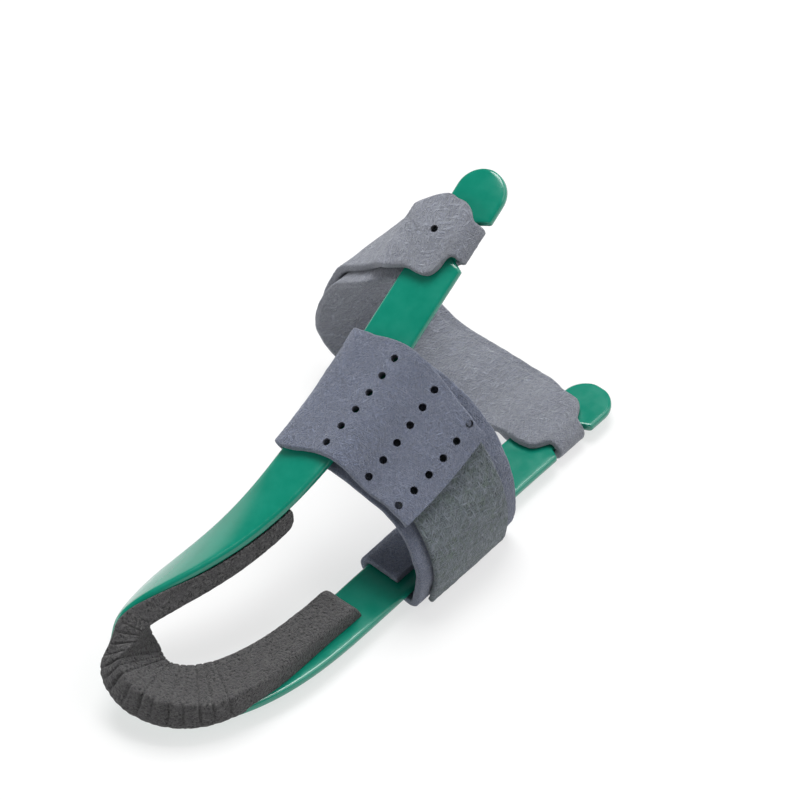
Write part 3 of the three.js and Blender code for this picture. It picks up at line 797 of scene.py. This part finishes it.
def make_front_strap():
    """Tail, turn, loop, turn and outer layer of the front strap, as one felt wall with holes."""
    tail_steps = 13
    seed = 31
    tail = np.linspace(FOLD_EDGE - FRONT_STRAP_TAIL, FOLD_EDGE, tail_steps + 1)[:-1, None]
    places = lower_arm(FRONT_STRAP_FROM_TIP, FRONT_HALF * toeward(LINE_SHARES))
    count = round(ball_lines[MIDDLE_LINE].length / STRAP_STEP)
    shares = np.linspace(0, 1, count + 1)[1:-1]
    inner = np.stack([line.at(line.length * shares) for line in ball_lines], axis=1)
    distances = np.linspace(0, OUTER_LENGTH, round(OUTER_LENGTH / STRAP_STEP) + 1)
    turn = fold(upper_arm, FRONT_STRAP_FROM_TIP, FRONT_HALF, FOLD_EDGE, 1)
    outer = outer_front(distances)[1:]
    grid = np.concatenate((
        refined(on_splint(places, tail, -STRAP_REACH)),
        fold(lower_arm, FRONT_STRAP_FROM_TIP, FRONT_HALF, FOLD_EDGE, 1),
        refined(inner),
        turn,
        outer,
    ))
    from_turn = STRAP_STEP * (np.arange(len(grid)) - (len(grid) - len(turn) - len(outer)))
    near_turn = eased(1 + from_turn / ARM_WIDTH)
    past = np.concatenate((np.zeros(len(grid) - len(outer)), distances[1:] / ARM_WIDTH))
    wider = near_turn[:, None] * stepped_out(FRONT_EDGE_ROWS, past)
    grid = smoothed(across_strap(grid, FINE_SHARES + wider / widths(grid)[:, None]))
    strap = strap_mesh("front_strap_felt", grid, STRAP_THICKNESS, seed)
    punch(strap, front_hole_spots())
    return strap


def make_front_patch():
    """The hook patch, lying on the loop from under the outer layer's end."""
    step = 1.2
    seed = 57
    share = np.linspace(0, 1, 2 + round(ball_lines[MIDDLE_LINE].length / step))
    lines = []
    for line, across in zip(ball_lines, LINE_SHARES):
        start = line.length - skewed(np.array(OUTER_LENGTH), across) + PATCH_OVERLAP
        lines.append(line.at(start + (line.length * PATCH_END_SHARE - start) * share))
    inner = refined(np.stack(lines, axis=1))
    faces = -strap_normals(inner)
    kept = trimmed(widths(inner), PATCH_TOE_INSET, PATCH_HEEL_INSET)
    lift = STRAP_MID + CLEARANCE + PATCH_THICKNESS / 2
    grid = across_strap(inner, kept) + across_strap(faces, kept) * lift
    return strap_mesh("front_patch_hook", grid, PATCH_THICKNESS, seed)


def fanned(across):
    """How far the rear strap has spread from its gathers, from 0 in the neck to 1."""
    return eased((across + NECK_HALF) / GATHER_RUN)


def gathered_half(across):
    return (NECK_GATHER + (REAR_STRAP_WIDTH - NECK_GATHER) * GATHER_SHARE * fanned(across)) / 2


def instep_line(share):
    """One line of the rear strap's inner layer, and its runs over the upper and the lower arm."""
    crossed = np.array((-NECK_EDGE, 0, ARM_HALF / 2, ARM_HALF))
    spread = toeward(share) * gathered_half(crossed)
    upper_places = NECK_FROM_TIP + spread + REAR_STRAP_SWEEP * fanned(crossed)
    lower_places = splint_line.length - NECK_FROM_TIP - spread
    upper = on_splint(upper_places, crossed, -STRAP_REACH)
    lower = on_splint(lower_places, crossed, -STRAP_REACH)[::-1]
    finish = on_splint(lower_places[-1], ARM_HALF, STRAP_REACH - LAYER_PITCH)
    line = Line(np.concatenate((
        upper,
        table_points(INSTEP_ROWS, share, upper[-1], finish, -INSTEP_BULGE, -INSTEP_LEAN),
        lower,
    )))
    runs = [np.linalg.norm(np.diff(points, axis=0), axis=1).sum() for points in (upper, lower)]
    return line, runs


instep_lines, instep_runs = zip(*(instep_line(share) for share in LINE_SHARES))


def past_arms(shares):
    """Way past the nearer arm's edge, at shares of the way from the upper neck, for each share across."""
    length = np.interp(FINE_SHARES, LINE_SHARES, [line.length for line in instep_lines])
    over_upper, over_lower = (
        np.interp(FINE_SHARES, LINE_SHARES, [run[i] for run in instep_runs]) for i in range(2))
    walked = shares[:, None] * length
    return np.minimum(walked - over_upper, length - walked - over_lower)


def instep_grid(shares):
    return refined(np.stack([line.at(line.length * shares) for line in instep_lines], axis=1))


def rear_steps(shares):
    """How far the rear strap's shares across move beside the upper arm, in millimetres."""
    past = past_arms(shares)[:, MIDDLE_SHARE] / ARM_WIDTH
    return stepped_out(REAR_EDGE_ROWS, np.where(shares < 0.5, past, REAR_EDGE_ROWS[-1][0]))


def inner_rear(shares):
    """The rear strap's inner layer, as narrow at its heel edge as the one on top."""
    inner = instep_grid(shares)
    narrower = np.minimum(rear_steps(shares), 0) * (FINE_SHARES > 0.5)
    return across_strap(inner, FINE_SHARES + narrower / widths(inner)[:, None])


def outer_rear(shares):
    """The rear strap's outer layer beside the inner one, at shares of the way from the upper neck."""
    inner = instep_grid(shares)
    faces = strap_normals(inner) * np.sign(shares[-1] - shares[0])
    from_arm = past_arms(shares)
    settle = 1 - eased((from_arm - STRAP_THICKNESS) / SETTLE_LENGTH)
    lift = LAYER_PITCH + (ARM_THICKNESS + CLEARANCE) * settle
    slide = REAR_STRAP_STAGGER * eased((from_arm[:, MIDDLE_SHARE] / ARM_WIDTH + 1) / 2)
    kept = FINE_SHARES + (slide[:, None] + rear_steps(shares)) / widths(inner)[:, None]
    return across_strap(inner, kept) + faces * lift[..., None]


def rear_hole_spot():
    """Centre and axis of the hole through the rear strap's outer layer, by the upper neck."""
    probe = 0.002
    at = REAR_HOLE_FROM_FOLD / instep_lines[MIDDLE_LINE].length
    near = outer_rear(at + probe * np.array((-1, 0, 1)))
    across = np.full((3, 1), REAR_HOLE_SHARE)
    return across_strap(near, across)[1, 0], unit(across_strap(strap_normals(near), across)[1, 0])


def make_rear_strap():
    """Both layers of the rear strap and its turns round the two necks, as one closed loop."""
    seed = 77
    count = round(instep_lines[MIDDLE_LINE].length / STRAP_STEP)
    shares = np.linspace(0, 1, count + 1)
    half = NECK_GATHER / 2
    grid = smoothed(np.concatenate((
        inner_rear(shares),
        fold(lower_arm, NECK_FROM_TIP, half, NECK_EDGE, -1)[1:-1],
        outer_rear(shares[::-1]),
        fold(upper_arm, NECK_FROM_TIP, half, NECK_EDGE, -1)[::-1][1:-1],
    )), is_loop=True)
    strap = strap_mesh("rear_strap_felt", grid, STRAP_THICKNESS, seed, is_loop=True)
    punch(strap, [rear_hole_spot()])
    return strap


def place_in_frame(pieces):
    """Moves the pieces from the tables' frame into the part's own, by the splint's box."""
    shell = pieces[0]
    corners = np.array([v.co for v in shell.data.vertices])
    low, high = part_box("splint")
    shift = (Vector(low) + Vector(high)) / 2 - Vector((corners.min(axis=0) + corners.max(axis=0)) / 2)
    for piece in pieces:
        piece.data.transform(Matrix.Translation(shift))


def feed(tree, value, socket):
    """Links a value that is a socket to an input, or sets the input to a plain value."""
    if isinstance(value, bpy.types.NodeSocket):
        tree.links.new(value, socket)
    else:
        socket.default_value = value


def put(tree, kind, settings=None, **values):
    """Adds a node with its settings, and feeds its inputs by name."""
    made = tree.nodes.new(kind)
    for name, value in (settings or {}).items():
        setattr(made, name, value)
    for name, value in values.items():
        feed(tree, value, made.inputs[name.replace("_", " ")])
    return made


def new_group(name, inputs, outputs):
    """A shader group of plain numbers in and masks out, with its input and output nodes."""
    tree = bpy.data.node_groups.new(name, "ShaderNodeTree")
    for title, value in inputs.items():
        socket = tree.interface.new_socket(title, in_out="INPUT", socket_type="NodeSocketFloat")
        socket.default_value = value
    for title in outputs:
        tree.interface.new_socket(title, in_out="OUTPUT", socket_type="NodeSocketFloat")
    return tree, tree.nodes.new("NodeGroupInput"), tree.nodes.new("NodeGroupOutput")


def felt_fibres_group():
    """Short fibres lying three ways over a slow mottle. Nap is the fine pattern, from 0 to 1."""
    tree, given, shown = new_group(
        "felt_fibres", {"Fibres per metre": 5000.0, "Mottle per metre": 300.0},
        ("Nap", "Mottle", "Height"))
    surface = put(tree, "ShaderNodeUVMap", {"uv_map": "felt_map"})
    place = put(tree, "ShaderNodeTexCoord")
    stretch = 7.0
    lays = (12, 70, 131)
    mottle_height = 0.5
    brightest = None
    for turn in lays:
        lay = put(
            tree, "ShaderNodeMapping", {"vector_type": "TEXTURE"}, Vector=surface.outputs["UV"],
            Rotation=(0, 0, math.radians(turn)), Scale=(stretch, 1, 1))
        strand = put(
            tree, "ShaderNodeTexNoise", Vector=lay.outputs["Vector"],
            Scale=given.outputs["Fibres per metre"], Detail=2.0, Roughness=0.6, Distortion=0.6)
        if brightest is None:
            brightest = strand.outputs["Fac"]
        else:
            either = put(tree, "ShaderNodeMath", {"operation": "MAXIMUM"})
            feed(tree, brightest, either.inputs[0])
            feed(tree, strand.outputs["Fac"], either.inputs[1])
            brightest = either.outputs[0]
    nap = put(tree, "ShaderNodeMapRange", Value=brightest, From_Min=0.42, From_Max=0.8)
    cloud = put(
        tree, "ShaderNodeTexNoise", Vector=place.outputs["Object"],
        Scale=given.outputs["Mottle per metre"], Detail=3.0, Roughness=0.6)
    mottle = put(tree, "ShaderNodeMapRange", Value=cloud.outputs["Fac"], From_Min=0.3, From_Max=0.7)
    height = put(tree, "ShaderNodeMath", {"operation": "MULTIPLY_ADD"})
    feed(tree, mottle.outputs["Result"], height.inputs[0])
    feed(tree, mottle_height, height.inputs[1])
    feed(tree, nap.outputs["Result"], height.inputs[2])
    feed(tree, nap.outputs["Result"], shown.inputs["Nap"])
    feed(tree, mottle.outputs["Result"], shown.inputs["Mottle"])
    feed(tree, height.outputs[0], shown.inputs["Height"])
    return tree


def specks_group():
    """Small uneven specks, as from lint, pores or a grain, from 0 to 1."""
    tree, given, shown = new_group(
        "specks", {"Specks per metre": 2500.0, "Low": 0.45, "High": 0.6}, ("Specks",))
    place = put(tree, "ShaderNodeTexCoord")
    grain = put(
        tree, "ShaderNodeTexNoise", Vector=place.outputs["Object"],
        Scale=given.outputs["Specks per metre"], Detail=3.0, Roughness=0.75)
    cut = put(
        tree, "ShaderNodeMapRange", Value=grain.outputs["Fac"], From_Min=given.outputs["Low"],
        From_Max=given.outputs["High"])
    feed(tree, cut.outputs["Result"], shown.inputs["Specks"])
    return tree


FELT_FIBRES = felt_fibres_group()
SPECKS = specks_group()


def use_group(tree, group, **values):
    return put(tree, "ShaderNodeGroup", {"node_tree": group}, **values)


def blend(tree, amount, first, second):
    """Mixes two colours, each a socket or plain values, by a mask or a number."""
    mix = put(tree, "ShaderNodeMix", {"data_type": "RGBA"})
    sockets = [s for s in mix.inputs if s.enabled]
    for value, socket in zip((amount, first, second), sockets):
        feed(tree, value, socket)
    return next(s for s in mix.outputs if s.enabled)


def rgb(red, green, blue):
    """Linear colour from sRGB values of 0 to 255."""
    return tuple(
        v / 12.92 if v <= 0.04045 else ((v + 0.055) / 1.055) ** 2.4
        for v in (red / 255, green / 255, blue / 255)) + (1.0,)


def new_material(name, colour, **values):
    material = bpy.data.materials.new(name)
    material.use_nodes = True
    material.diffuse_color = colour
    shader = material.node_tree.nodes["Principled BSDF"]
    shader.inputs["Base Color"].default_value = colour
    for title, value in values.items():
        shader.inputs[title.replace("_", " ")].default_value = value
    return material, material.node_tree, shader


def bump_from(tree, height, depth):
    return put(tree, "ShaderNodeBump", Height=height, Distance=depth, Strength=1.0).outputs["Normal"]


def felt_material(name, dark, light, shade, fibres, mottle):
    """Brushed felt: fibres between a dark and a light tone, over slow patches of shade."""
    lint_amount = 0.85
    even_amount = 0.6
    depth = 0.6 * MM
    material, tree, shader = new_material(
        name, light, Roughness=0.95, Sheen_Weight=0.35, Sheen_Roughness=0.6, Specular_IOR_Level=0.15)
    weave = use_group(tree, FELT_FIBRES, Fibres_per_metre=fibres, Mottle_per_metre=mottle)
    lint = use_group(tree, SPECKS, Specks_per_metre=1800.0, Low=0.38, High=0.62)
    nap = blend(tree, weave.outputs["Nap"], dark, light)
    linty = blend(tree, lint.outputs["Specks"], shade, nap)
    toned = blend(tree, lint_amount, nap, linty)
    patchy = blend(tree, weave.outputs["Mottle"], shade, toned)
    feed(tree, blend(tree, even_amount, patchy, toned), shader.inputs["Base Color"])
    feed(tree, bump_from(tree, weave.outputs["Height"], depth), shader.inputs["Normal"])
    return material


def hook_material():
    """Heathered hook fabric: grey-green and pale strands in uneven clumps."""
    depth = 0.7 * MM
    material, tree, shader = new_material(
        "heathered_hook_fabric", rgb(110, 120, 120), Roughness=0.9, Sheen_Weight=0.25,
        Sheen_Roughness=0.5, Specular_IOR_Level=0.2)
    weave = use_group(tree, FELT_FIBRES, Fibres_per_metre=2600.0, Mottle_per_metre=240.0)
    clumps = use_group(tree, SPECKS, Specks_per_metre=650.0, Low=0.4, High=0.6)
    strands = blend(tree, weave.outputs["Nap"], rgb(60, 69, 76), rgb(150, 159, 170))
    green = blend(tree, weave.outputs["Nap"], rgb(62, 79, 74), rgb(118, 133, 126))
    mixed = blend(tree, clumps.outputs["Specks"], green, strands)
    feed(tree, blend(tree, weave.outputs["Mottle"], mixed, strands), shader.inputs["Base Color"])
    feed(tree, bump_from(tree, weave.outputs["Height"], depth), shader.inputs["Normal"])
    return material


def plastic_material():
    """Glossy moulded nylon, with faint handling marks in its polish."""
    material, tree, shader = new_material(
        "teal_moulded_plastic", rgb(0, 124, 102), Roughness=0.2, Coat_Weight=0.35,
        Coat_Roughness=0.06, IOR=1.5, Specular_IOR_Level=0.5)
    haze = use_group(tree, SPECKS, Specks_per_metre=160.0, Low=0.35, High=0.65)
    polish = put(tree, "ShaderNodeMapRange", Value=haze.outputs["Specks"], To_Min=0.16, To_Max=0.27)
    feed(tree, polish.outputs["Result"], shader.inputs["Roughness"])
    colour = blend(tree, haze.outputs["Specks"], rgb(0, 121, 99), rgb(2, 127, 105))
    feed(tree, colour, shader.inputs["Base Color"])
    return material


def foam_material():
    """Charcoal foam: open pores in a paler body, with painted shade in their hollows, and lint on it."""
    depth = 0.5 * MM
    material, tree, shader = new_material(
        "charcoal_foam", rgb(78, 76, 76), Roughness=0.9, Sheen_Weight=0.2, Sheen_Roughness=0.5,
        Specular_IOR_Level=0.2)
    pores = use_group(tree, SPECKS, Specks_per_metre=1500.0, Low=0.38, High=0.6)
    lint = use_group(tree, SPECKS, Specks_per_metre=500.0, Low=0.42, High=0.66)
    # The pores' dark tone is painted shade, laid where the bump sinks into the pore hollows
    body = blend(tree, pores.outputs["Specks"], rgb(36, 36, 38), rgb(100, 99, 99))
    linty = blend(tree, lint.outputs["Specks"], body, rgb(80, 79, 81))
    feed(tree, linty, shader.inputs["Base Color"])
    feed(tree, bump_from(tree, pores.outputs["Specks"], depth), shader.inputs["Normal"])
    return material


def front_felt_material():
    return felt_material(
        "blue_grey_felt", dark=rgb(80, 88, 111), light=rgb(160, 169, 193), shade=rgb(93, 101, 123),
        fibres=3600.0, mottle=200.0)


def rear_felt_material():
    return felt_material(
        "light_grey_felt", dark=rgb(107, 111, 123), light=rgb(178, 183, 193), shade=rgb(118, 122, 136),
        fibres=3400.0, mottle=180.0)


def floor_material():
    material, _, _ = new_material(
        "pale_floor", rgb(150, 150, 150), Roughness=0.9, Specular_IOR_Level=0.1,
        Emission_Color=rgb(255, 255, 255), Emission_Strength=0.64)
    return material


def finish_piece(piece, node, material):
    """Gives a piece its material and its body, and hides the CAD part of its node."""
    piece.data.materials.clear()
    piece.data.materials.append(material)
    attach(piece, "root")
    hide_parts(node)


# The camera stands at the photo's angle: place in millimetres, angles in degrees
CAMERA_AIM = (-6.17, 25.2, 21.75)
CAMERA_AZIMUTH = 59.05
CAMERA_ELEVATION = 47.74
CAMERA_ROLL = -2.73
CAMERA_DISTANCE = 800
CAMERA_LENS = 139.05

# Softboxes that look at the part from their own angles, with size in metres and power in watts
LAMP_DISTANCE = 1.5
LAMP_COLUMNS = ("name", "azimuth", "elevation", "wide", "high", "power")
LAMP_ROWS = (
    ("key_softbox", -125, 72, 0.8, 0.8, 22),
    ("back_softbox", 150, 50, 1.4, 1.2, 10),
    ("side_softbox", -33, 17, 1.2, 0.5, 6),
)

# The floor lies just under the felt's nap, in millimetres
FLOOR_REACH = 4000
FLOOR_LEVEL = -0.3


def view_axes(azimuth, elevation):
    """The ways right, up and back from a place that looks at the part from an angle."""
    a, e = math.radians(azimuth), math.radians(elevation)
    back = Vector((math.sin(a) * math.cos(e), -math.cos(a) * math.cos(e), math.sin(e)))
    right = Vector((math.cos(a), math.sin(a), 0))
    return right, back.cross(right), back


def add_camera():
    right, up, back = view_axes(CAMERA_AZIMUTH, CAMERA_ELEVATION)
    roll = math.radians(CAMERA_ROLL)
    tilted_right = right * math.cos(roll) + up * math.sin(roll)
    tilted_up = up * math.cos(roll) - right * math.sin(roll)
    camera = add_object("camera", bpy.data.cameras.new("camera"))
    camera.data.lens = CAMERA_LENS
    camera.data.clip_start = 0.01
    camera.data.clip_end = 20
    place = (Vector(CAMERA_AIM) + back * CAMERA_DISTANCE) * MM
    turn = Matrix((tilted_right, tilted_up, back)).transposed().to_4x4()
    camera.matrix_world = Matrix.Translation(place) @ turn
    bpy.context.scene.camera = camera


def add_lamp(name, azimuth, elevation, wide, high, power):
    right, up, back = view_axes(azimuth, elevation)
    lamp = add_object(name, bpy.data.lights.new(name, "AREA"))
    lamp.data.shape = "RECTANGLE"
    lamp.data.size = wide
    lamp.data.size_y = high
    lamp.data.energy = power
    turn = Matrix((right, up, back)).transposed().to_4x4()
    lamp.matrix_world = Matrix.Translation(Vector(CAMERA_AIM) * MM + back * LAMP_DISTANCE) @ turn


def add_floor():
    reach = FLOOR_REACH * MM
    level = FLOOR_LEVEL * MM
    mesh = bpy.data.meshes.new("floor")
    mesh.from_pydata(
        [(-reach, -reach, level), (reach, -reach, level), (reach, reach, level), (-reach, reach, level)],
        [], [(0, 1, 2, 3)])
    mesh.materials.append(floor_material())
    floor = add_object("floor", mesh)


def add_studio():
    """White light from all round that is bright low down and dim overhead."""
    world = bpy.data.worlds.new("studio")
    world.use_nodes = True
    tree = world.node_tree
    way = put(tree, "ShaderNodeTexCoord")
    height = put(tree, "ShaderNodeSeparateXYZ", Vector=way.outputs["Generated"]).outputs["Z"]
    bright = put(
        tree, "ShaderNodeMapRange", Value=height, From_Min=0.18, From_Max=0.38, To_Min=1.05,
        To_Max=0.12)
    feed(tree, bright.outputs["Result"], tree.nodes["Background"].inputs["Strength"])
    tree.nodes["Background"].inputs["Color"].default_value = (1.0, 1.0, 1.0, 1.0)
    bpy.context.scene.world = world
    bpy.context.scene.view_settings.view_transform = "Standard"


splint = make_splint()
toe_pad = make_toe_pad()
front_strap = make_front_strap()
front_patch = make_front_patch()
rear_strap = make_rear_strap()
place_in_frame([splint, toe_pad, front_strap, front_patch, rear_strap])

finish_piece(splint, "splint", plastic_material())
finish_piece(toe_pad, "toe_pad", foam_material())
finish_piece(front_strap, "front_strap", front_felt_material())
finish_piece(front_patch, "front_patch", hook_material())
finish_piece(rear_strap, "rear_strap", rear_felt_material())

add_floor()
add_studio()
for lamp_row in LAMP_ROWS:
    add_lamp(**dict(zip(LAMP_COLUMNS, lamp_row)))
add_camera()
